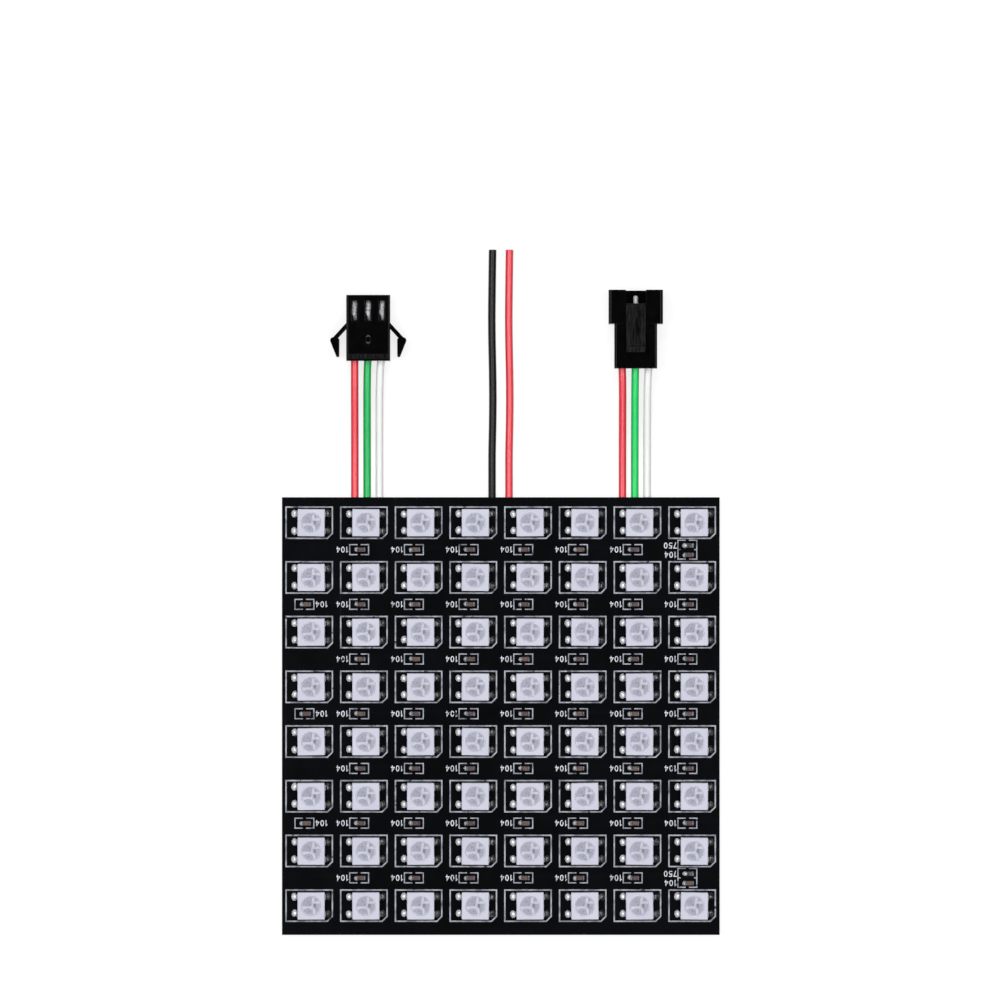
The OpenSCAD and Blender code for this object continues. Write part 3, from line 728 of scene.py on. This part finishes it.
# Each stop: millimetres from the panel's edge, share of the sideways shift, share of the rise
FREE_ROUTE = [(0, 0, 0), (4, 0, 0), (8, 0, 0.1), (12, 0, 0.3), (16, 0.03, 0.62), (19, 0.06, 0.88)]
# The same, but measured from where the lead enters its connector
ENTRY_ROUTE = [(-1.5, 0.3, 1), (0, 0.65, 1), (2.5, 0.92, 1)]
# Each stop: millimetres from the panel's edge and millimetres sideways
POWER_ROUTE = [
    (0, 0), (4, 0), (8, 0), (13, 0.1), (18, 0.15), (23, 0.1),
    (28, 0), (33, -0.05), (38, 0), (42, 0.05), (45.25, 0.1),
]
INPUT_SOLDER_X, OUTPUT_SOLDER_X, POWER_SOLDER_X = -24.45 * MM, 24.5 * MM, -0.05 * MM
# How far the data leads run free, and how far into their connectors, in millimetres
INPUT_FREE, INPUT_DEPTH = 24.9, 5.5
OUTPUT_FREE, OUTPUT_DEPTH = 23.5, 7.0


def data_stops(solder_x, end_x, end_z, free, depth, place):
    """The route of a data lead from the panel's edge to its terminal."""
    start = solder_x + place * SOLDER_PITCH
    shift = end_x + place * TERMINAL_PITCH - start
    entry = [(free + along, side, rise) for along, side, rise in ENTRY_ROUTE]
    route = FREE_ROUTE + entry + [(free + depth, 1, 1)]
    return [
        Vector((start + side * shift, PANEL_EDGE + along * MM, LEAD_AXIS + rise * (end_z - LEAD_AXIS)))
        for along, side, rise in route
    ]


def power_stops(place):
    """The route of a power lead, flat on the surface."""
    start = POWER_SOLDER_X + place * POWER_PITCH
    return [Vector((start + side * MM, PANEL_EDGE + along * MM, LEAD_AXIS)) for along, side in POWER_ROUTE]


def smooth_line(stops, steps=2):
    """The stops with points between them on the smooth curve through them all."""
    line = []
    for i in range(len(stops) - 1):
        before, start = stops[max(i - 1, 0)], stops[i]
        end, after = stops[i + 1], stops[min(i + 2, len(stops) - 1)]
        for step in range(steps):
            t = step / steps
            bend = 2 * before - 5 * start + 4 * end - after
            twist = 3 * start - before - 3 * end + after
            line.append(0.5 * (2 * start + (end - before) * t + bend * t ** 2 + twist * t ** 3))
    return line + [stops[-1]]


def lead(node, stops, finish, slot):
    """A lead's insulation, a round tube from the panel's edge."""
    line = smooth_line(stops)
    curve = bpy.data.curves.new(node + "_sheath", "CURVE")
    curve.dimensions = "3D"
    curve.bevel_depth = LEAD_DIAMETER / 2
    curve.bevel_resolution = 6
    curve.use_fill_caps = True
    spline = curve.splines.new("POLY")
    spline.points.add(len(line) - 1)
    for point, place in zip(spline.points, line):
        point.co = (*place, 1)
    spline.use_smooth = True
    curve.materials.append(finish)
    piece = fixed(new_object(node + "_sheath", curve), slot, node)
    return piece


# A cut conductor's stops: millimetres past the insulation's end, and the share of its radius
CUT_STOPS = ((-0.4, 1), (0.03, 1), (0.05, 0.8))


def cut_conductor(name, stops):
    """The tinned strands where a power lead is cut, just proud of the insulation."""
    end = stops[-1]
    turns = [i * math.pi / 8 for i in range(16)]

    def build(shape):
        loft(shape, [
            [
                (end.x + swell * CONDUCTOR_RADIUS * math.cos(turn),
                 end.y + depth * MM,
                 end.z + swell * CONDUCTOR_RADIUS * math.sin(turn))
                for turn in turns
            ]
            for depth, swell in CUT_STOPS
        ])
    return fixed(mesh_piece(name, build, FINISHES["conductor_tin"]), "tinned_copper")


TONGUE_WIDTH, TONGUE_HEIGHT = 1.0 * MM, 0.45 * MM
# How far a tongue's ends lie from the mating end, and how far its underside is above the terminal's middle
TONGUE_BACK, TONGUE_FRONT = 4.6 * MM, 1.0 * MM
TONGUE_BOTTOM = 0.95 * MM
# Each stop along a tongue: share of its length from the back, then crown, width and sideways shift as shares
TONGUE_STOPS = (
    (0, 0.15, 0.45, 0.12), (0.1, 0.5, 0.55, 0.12), (0.22, 0.8, 0.62, 0.1),
    (0.36, 0.95, 0.95, -0.08), (0.5, 0.72, 1, -0.06), (0.66, 0.85, 0.98, 0.02),
    (0.84, 0.6, 0.92, 0.05), (0.94, 0.5, 0.85, 0.04), (1, 0.2, 0.7, 0),
)


def socket_tongue(name, x):
    """The bent spring over a socket, narrow at its root, seen through the housing's window."""
    def build(shape):
        rings = []
        for share, crown, wide, aside in TONGUE_STOPS:
            y = plug_high.y - TONGUE_BACK + share * (TONGUE_BACK - TONGUE_FRONT)
            half, middle = wide * TONGUE_WIDTH / 2, x + aside * TONGUE_WIDTH
            base, height = INPUT_Z + TONGUE_BOTTOM, crown * TONGUE_HEIGHT
            rings.append([
                (middle + across * half, y, base + up * height)
                for across, up in ((1, 0), (0.97, 0.7), (0.75, 1), (-0.75, 1), (-0.97, 0.7), (-1, 0))
            ])
        loft(shape, rings)
    return fixed(mesh_piece(name, build, FINISHES["tongue_tin"], 60), "tinned_brass")


def make_leads():
    places = {"red": -1, "green": 0, "white": 1}
    for number, (colour, place) in enumerate(places.items(), 1):
        left_finish = FINISHES["left_green" if colour == "green" else colour]
        right_finish = FINISHES["right_green" if colour == "green" else colour]
        tongue = socket_tongue("input_socket_tongue_%d" % number, INPUT_X + place * TERMINAL_PITCH)
        slot = "insulation_" + colour
        stops = data_stops(INPUT_SOLDER_X, INPUT_X, INPUT_Z, INPUT_FREE, INPUT_DEPTH, place)
        lead("input_lead_" + colour, stops, left_finish, slot)
        stops = data_stops(OUTPUT_SOLDER_X, OUTPUT_X, OUTPUT_Z, OUTPUT_FREE, OUTPUT_DEPTH, place)
        lead("output_lead_" + colour, stops, right_finish, slot)
    for colour, place in (("black", -0.5), ("red", 0.5)):
        stops = power_stops(place)
        core = cut_conductor("power_lead_" + colour + "_cut_end", stops)
        lead("power_lead_" + colour, stops, FINISHES[colour], "insulation_" + colour)


make_leads()

# ---------------------------------------------------------------- LEDs


LED_CORNER = 0.14 * MM
LED_SIDE_STEPS = 12


def led_body(shape):
    """Housing with a round cup: outer walls with a slight draft, softened top edge, cup wall and floor."""
    def square(inset):
        width = LED_WIDTH - 2 * inset * MM
        return rounded_outline(width, width, LED_CORNER, LED_SIDE_STEPS)
    outline = square(0)
    loft(shape, [
        at_height(square(0.05), LED_FOOT),
        at_height(outline, LED_FOOT + 0.1 * MM),
        at_height(outline, LED_TOP - 0.7 * MM),
        at_height(square(0.03), LED_TOP - 0.07 * MM),
        at_height(square(0.1), LED_TOP),
        at_height(on_circle(outline, CUP_TOP_RADIUS + 0.03 * MM), LED_TOP),
        at_height(on_circle(outline, CUP_TOP_RADIUS), LED_TOP - 0.03 * MM),
        at_height(on_circle(outline, CUP_FLOOR_RADIUS), CUP_FLOOR - 0.01 * MM),
    ])


def led_filling(shape):
    """Resin that fills the cup, drawn down a little in the middle as it cured."""
    outline = rounded_outline(1, 1, 0.4, 2, 8)
    brim, sag = LED_TOP - 0.04 * MM, 0.12 * MM
    rings = [at_height(on_circle(outline, CUP_FLOOR_RADIUS - 0.02 * MM), CUP_FLOOR + 0.01 * MM),
             at_height(on_circle(outline, CUP_TOP_RADIUS - 0.01 * MM), brim)]
    for share in (0.85, 0.6, 0.3, 0.06):
        rings.append(at_height(on_circle(outline, share * CUP_TOP_RADIUS), brim - sag * (1 - share ** 2)))
    loft(shape, rings)


EMITTERS = [(-0.2 * MM, 0.15 * MM), (-0.65 * MM, 0.8 * MM), (-0.35 * MM, -1 * MM)]
EMITTER_WIDTH, EMITTER_HEIGHT = 0.26 * MM, 0.1 * MM
DRIVER = (0.66 * MM, 0.02 * MM)
DRIVER_WIDTH, DRIVER_LENGTH, DRIVER_HEIGHT = 0.42 * MM, 0.6 * MM, 0.14 * MM
# Sawn dies have next to no rounding
DIE_EDGE = 0.01 * MM
# Where each bond wire starts and ends, in millimetres from the LED's middle
BONDS = [
    ((0.56, 0.1), (-0.16, 0.18)), ((0.54, 0.22), (-0.6, 0.8)), ((0.54, -0.15), (-0.3, -0.97)),
    ((0.72, 0.25), (0.9, 1.1)), ((0.76, -0.2), (1.15, -0.7)), ((-0.7, 0.76), (-1.05, 0.35)),
]


def led_emitters(shape):
    for centre in EMITTERS:
        top = CUP_FLOOR + EMITTER_HEIGHT
        pillow(shape, centre, EMITTER_WIDTH, EMITTER_WIDTH, CUP_FLOOR, top, DIE_EDGE, DIE_EDGE)


def led_driver(shape):
    top = CUP_FLOOR + DRIVER_HEIGHT
    pillow(shape, DRIVER, DRIVER_WIDTH, DRIVER_LENGTH, CUP_FLOOR, top, DIE_EDGE, DIE_EDGE)


def led_bonds(shape):
    """Thin arches of wire from the driver to the emitters and the plates."""
    radius = 0.02 * MM
    for start, end in BONDS:
        start, end = Vector(start) * MM, Vector(end) * MM
        across = Vector((start.y - end.y, end.x - start.x)).normalized() * radius
        rings = []
        for share, rise in ((0, 0), (0.12, 0.75), (0.35, 1), (0.7, 0.7), (1, 0)):
            spot = start.lerp(end, share)
            z = CUP_FLOOR + (0.13 + 0.22 * rise) * MM
            rings.append([
                (spot.x + across.x, spot.y + across.y, z), (spot.x, spot.y, z + 1.4 * radius),
                (spot.x - across.x, spot.y - across.y, z), (spot.x, spot.y, z - 1.4 * radius),
            ])
        loft(shape, rings)


def mark_faces(piece, name, chosen):
    """A face attribute that is 1 where chosen(middle, normal) holds and 0 elsewhere."""
    values = [1.0 if chosen(face.center, face.normal) else 0.0 for face in piece.data.polygons]
    piece.data.attributes.new(name, "FLOAT", "FACE").data.foreach_set("value", values)


def cup_wall(middle, normal):
    return math.hypot(middle.x, middle.y) < CUP_TOP_RADIUS and 0.02 < normal.z < 0.9


def faces_up(middle, normal):
    return normal.z > 0.5


def make_leds():
    rows = range(1, ROWS + 1)
    body = mesh_piece("led_body", led_body, FINISHES["ppa"])
    # Marks the cup's wall for the painted light in the housing's finish
    mark_faces(body, "cup", cup_wall)
    bodies = repeated("led_bodies", body, FINISHES["ppa"], turn=0.9, seed=11)
    fixed(bodies, "led_housing", *["led_housings_row_%d" % row for row in rows])
    filling = mesh_piece("led_filling", led_filling, FINISHES["resin"], 60)
    mark_faces(filling, "skin", faces_up)
    fillings = repeated("led_fillings", filling, FINISHES["resin"], seed=5)
    fixed(fillings, "clear_resin", *["led_lenses_row_%d" % row for row in rows])
    dies = ["led_dies_row_%d" % row for row in rows]
    chips = ("led_emitter_chips", led_emitters, "emitter"), ("led_driver_chips", led_driver, "driver")
    for name, build, finish in chips:
        source = mesh_piece(name + "_source", build, FINISHES[finish])
        fixed(repeated(name, source, FINISHES[finish], seed=5), "die", *dies)
    source = mesh_piece("led_bond_wires_source", led_bonds, FINISHES["gold"], 80)
    fixed(repeated("led_bond_wires", source, FINISHES["gold"], seed=5), "leadframe")
    for row in rows:
        paint("led_leadframes_row_%d" % row, FINISHES["plating"])


make_leds()

# ---------------------------------------------------------------- solder and chips

BEAD_WIDTH = 1.1 * MM
BEAD_LENGTH = 1.38 * MM
BEAD_HEIGHT = 0.55 * MM


# Each drop of solder: its middle, width, length, height and lean
LEFT_BEAD = (0.1 * MM - BEAD_WIDTH / 2, 0.1 * MM, BEAD_WIDTH, BEAD_LENGTH, BEAD_HEIGHT, 0.08 * MM)
RIGHT_BEAD = (BEAD_WIDTH / 2 - 0.14 * MM, 0.1 * MM, BEAD_WIDTH, BEAD_LENGTH, 0.7 * BEAD_HEIGHT, -0.12 * MM)
CHIP_BLOB = (-CHIP_LENGTH / 2 - 0.05 * MM, 0, 0.9 * MM, CHIP_WIDTH, 0.76 * MM, 0.16 * MM)
CHIP_FOOT = (CHIP_LENGTH / 2, 0, 0.34 * MM, 0.9 * CHIP_WIDTH, 0.3 * MM, -0.05 * MM)
# A chip's body lies this far inside its two end caps
CHIP_INSET = 0.02 * MM


def drop(place):
    """Builds one solder drop."""
    return lambda shape: mound(shape, *place)


def chip_middle(height, corner, edge):
    """Builds a chip's body, between its end caps."""
    length, width = CHIP_LENGTH - 2 * CHIP_END, CHIP_WIDTH - 2 * CHIP_INSET
    return lambda shape: pillow(shape, (0, 0), length, width, CHIP_INSET, height - CHIP_INSET, corner, edge)


def chip_ends(height, corner, edge):
    """Builds the metal caps on a chip's two ends."""
    def build(shape):
        for side in (-1, 1):
            middle = (side * (CHIP_LENGTH - CHIP_END) / 2, 0)
            pillow(shape, middle, CHIP_END, CHIP_WIDTH, 0, height, corner, edge)
    return build


def make_solder_and_chips():
    left = [(x - LEAD_REACH, y + side * LEAD_Y) for x, y in LED_SPOTS for side in (-1, 1)]
    right = [(x + LEAD_REACH, y + side * LEAD_Y) for x, y in LED_SPOTS for side in (-1, 1)]
    chips = CAPACITOR_SPOTS + RESISTOR_SPOTS
    tall = chip_middle(CAPACITOR_HEIGHT, 0.03 * MM, 0.05 * MM)
    tall_ends = chip_ends(CAPACITOR_HEIGHT, 0.08 * MM, 0.1 * MM)
    flat = chip_middle(RESISTOR_HEIGHT, 0.02 * MM, 0.03 * MM)
    flat_ends = chip_ends(RESISTOR_HEIGHT, 0.06 * MM, 0.06 * MM)
    beads, joints = ("solder", "led_solder_joints"), ("solder", "chip_solder_joints")
    blocks, ends = ("capacitor_ceramic", "capacitor_bodies"), "chip_terminal"
    # The left beads and chip blobs take the solder painted lit, the right beads and chip feet the solder
    # painted shaded
    # Each row: piece, its shape, finish and spots, its slot and CAD node, then turn and size change
    work = (
        ("left_solder_beads", drop(LEFT_BEAD), "solder_painted_lit", left, beads, 14, 0.1),
        ("right_solder_beads", drop(RIGHT_BEAD), "solder_painted_shaded", right, beads, 10, 0.08),
        ("chip_solder_blobs", drop(CHIP_BLOB), "solder_painted_lit", chips, joints, 6, 0.1),
        ("chip_solder_feet", drop(CHIP_FOOT), "solder_painted_shaded", chips, joints, 4, 0.1),
        ("capacitor_blocks", tall, "ceramic", CAPACITOR_SPOTS, blocks, 0, 0),
        ("capacitor_caps", tall_ends, "chip_tin", CAPACITOR_SPOTS, (ends, "capacitor_terminals"), 0, 0),
        ("resistor_blocks", flat, "glaze", RESISTOR_SPOTS, ("resistor_ceramic", "resistor_bodies"), 0, 0),
        ("resistor_caps", flat_ends, "chip_tin", RESISTOR_SPOTS, (ends, "resistor_terminals"), 0, 0),
    )
    for seed, (name, build, finish, spots, slot_and_node, turn, change) in enumerate(work, 20):
        source = mesh_piece(name + "_source", build, FINISHES[finish], 50)
        made = repeated(name, source, FINISHES[finish], spots, PANEL_TOP, turn, change, seed)
        fixed(made, *slot_and_node)


make_solder_and_chips()

# ---------------------------------------------------------------- value marks

DIGIT_HEIGHT = 0.95 * MM
DIGIT_GAP = 0.36 * MM
STROKE = 0.16 * MM
# A line that crosses another of its digit lies this much lower, so that no two faces coincide
LAYER_STEP = 0.002 * MM
# Points round a unit oval, of which the last is the first again
OVAL = [(0.5 + 0.5 * math.cos(math.pi * i / 6), 0.5 + 0.5 * math.sin(math.pi * i / 6)) for i in range(13)]
# Each digit's width in millimetres, and its strokes on a unit box from the lower left
DIGITS = {
    "1": (0.26, [[(0, 0.8), (0.7, 1), (0.7, 0)]]),
    "0": (0.52, [OVAL]),
    "4": (0.52, [[(0.72, 0), (0.72, 1), (0, 0.34)], [(0, 0.28), (1, 0.28)]]),
    "7": (0.5, [[(0, 1), (1, 1), (0.35, 0)]]),
    "5": (0.5, [[(0.95, 1), (0.1, 1), (0.05, 0.55), (0.6, 0.62), (1, 0.35), (0.75, 0.03), (0, 0.05)]]),
}
# A mark's middle, from the middle of the chip that it names
MARK_LEFT = -3.46 * MM
MARK_RIGHT = 2.75 * MM


def digits(text):
    """Builds a number upside down, as read from the leads' side, centred on its own middle."""
    total = sum(DIGITS[digit][0] for digit in text) * MM + (len(text) - 1) * DIGIT_GAP

    def build(shape):
        x = -total / 2
        for digit in text:
            width, lines = DIGITS[digit]
            for number, line in enumerate(lines):
                points = [(-(x + u * width * MM), -(v - 0.5) * DIGIT_HEIGHT) for u, v in line]
                stroke(shape, points, STROKE, 0, INK - number * LAYER_STEP)
            x += width * MM + DIGIT_GAP
    return build


def make_value_marks():
    spots = []
    for (column, gap), (x, y) in CELL_SPOTS.items():
        shift = PAIR_CAPACITOR_SHIFT if is_pair(column, gap) else 0
        spots.append((x + (MARK_RIGHT if column == 1 else MARK_LEFT), y + shift))
    source = mesh_piece("capacitor_mark", digits("104"), FINISHES["mark_ink"])
    fixed(repeated("capacitor_marks", source, FINISHES["mark_ink"], spots, PANEL_TOP), "legend_ink")
    spots = [(x + MARK_LEFT, y) for x, y in RESISTOR_SPOTS]
    source = mesh_piece("resistor_mark", digits("750"), FINISHES["mark_ink"])
    fixed(repeated("resistor_marks", source, FINISHES["mark_ink"], spots, PANEL_TOP), "legend_ink")


make_value_marks()

# ---------------------------------------------------------------- carried-over CAD nodes

for node, finish in (
    ("input_connector_housing", "nylon"), ("output_connector_housing", "nylon"),
    ("flex_circuit", "film"), ("printed_legend", "frame_ink"), ("back_solder_pads", "conductor_tin"),
    ("lead_conductors", "conductor_tin"), ("lead_solder_joints", "solder_painted_lit"),
    ("input_socket_terminal_1", "tin_with_painted_shade"), ("input_socket_terminal_2", "tin_with_painted_shade"),
    ("input_socket_terminal_3", "tin_with_painted_shade"), ("output_pin_terminal_1", "contact_tin"),
    ("output_pin_terminal_2", "contact_tin"), ("output_pin_terminal_3", "contact_tin"),
):
    paint(node, FINISHES[finish])

# ---------------------------------------------------------------- floor and light


FLOOR_HALF, FLOOR_Z = 2.5, -0.02 * MM


def make_floor():
    """A wide sheet just under the leads and connectors."""
    mesh = bpy.data.meshes.new("floor")
    half = FLOOR_HALF
    corners = [(-half, -half), (half, -half), (half, half), (-half, half)]
    mesh.from_pydata(at_height(corners, FLOOR_Z), [], [(0, 1, 2, 3)])
    mesh.materials.append(FINISHES["paper"])
    new_object("floor", mesh)


LAMP_AIM = Vector((0, 0.02, 0))
LAMP_DISTANCE = 0.95
# Each softbox: the direction to it from the panel's middle, its width and length, and its watts
SOFTBOXES = {
    "left_softbox": ((-0.46, 0.05, 1), 0.32, 0.4, 2.9),
    "right_softbox": ((0.46, 0.05, 1), 0.32, 0.4, 2.3),
    "near_softbox": ((0.05, -0.5, 1), 0.4, 0.25, 2.2),
    "far_softbox": ((-0.05, 0.5, 1), 0.4, 0.25, 2.2),
}
# The room's light near the horizon and overhead, and the two heights between which it fades
HORIZON, ZENITH = 0.1, 0.025
FADE_FROM, FADE_TO = 0.2, 0.75


def make_softbox(name, direction, width, length, watts):
    """A rectangular lamp that faces the panel's middle from that direction."""
    lamp = bpy.data.lights.new(name, "AREA")
    lamp.shape = "RECTANGLE"
    lamp.size, lamp.size_y, lamp.energy = width, length, watts
    thing = new_object(name, lamp)
    away = Vector(direction).normalized()
    thing.location = LAMP_AIM + away * LAMP_DISTANCE
    thing.rotation_euler = away.to_track_quat("Z", "Y").to_euler()


def make_world():
    """A dim room with a dark ceiling, so that flat dark parts seen from above stay dark."""
    world = bpy.data.worlds.new("room")
    bpy.context.scene.world = world
    world.use_nodes = True
    tree = world.node_tree
    direction = add(tree, "ShaderNodeTexCoord", out="Generated")
    up = add(tree, SPLIT, {"Vector": direction}, "Z")
    fade = {"From Min": FADE_FROM, "From Max": FADE_TO, "To Min": HORIZON, "To Max": ZENITH}
    level = add(tree, RANGE, {"Value": up, **fade}, interpolation_type="SMOOTHSTEP")
    seen = add(tree, "ShaderNodeLightPath", out="Is Camera Ray")
    strength = add(tree, MATH, {0: level, 1: seen}, operation="MAXIMUM")
    feed(tree, tree.nodes["Background"], {"Color": "ffffff", "Strength": strength})


make_floor()
make_world()
for name, sizes in SOFTBOXES.items():
    make_softbox(name, *sizes)
bpy.context.scene.view_settings.view_transform = "Standard"
